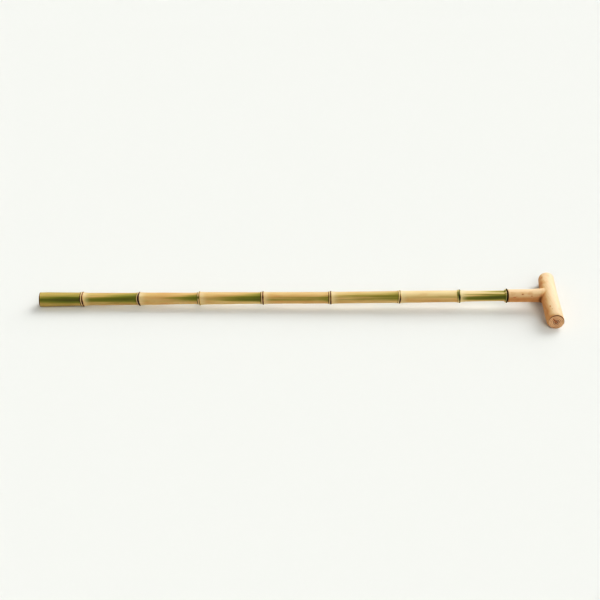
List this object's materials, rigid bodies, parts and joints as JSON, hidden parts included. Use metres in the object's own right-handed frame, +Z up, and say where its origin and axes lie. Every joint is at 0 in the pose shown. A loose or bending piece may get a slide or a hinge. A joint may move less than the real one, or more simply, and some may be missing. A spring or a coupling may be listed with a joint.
{
  "type": "bamboo walking cane",
  "caption": "Straight bamboo walking cane with ringed nodes, a thin dark ring at its top joint and a T handle of pale peeled branch wood.",
  "frame": {"origin": "on the surface that the cane lies on, under the middle of its bounding box", "axes": "+X along the cane from its foot to its handle, +Y towards the handle's thinner and longer arm, +Z up from the surface"},
  "size_m": [0.9028, 0.1382, 0.0387],
  "materials": {
    "bamboo": "satin natural skin, tan to olive green, with dark node rings",
    "dark_wood": "satin, nearly black brown",
    "peeled_wood": "smooth pale peeled wood with small knots, sawn end grain"
  },
  "bodies": {
    "root": {"bamboo_shaft": "bamboo", "joint_collar": "dark_wood", "t_handle": "peeled_wood"}
  },
  "joints": []
}
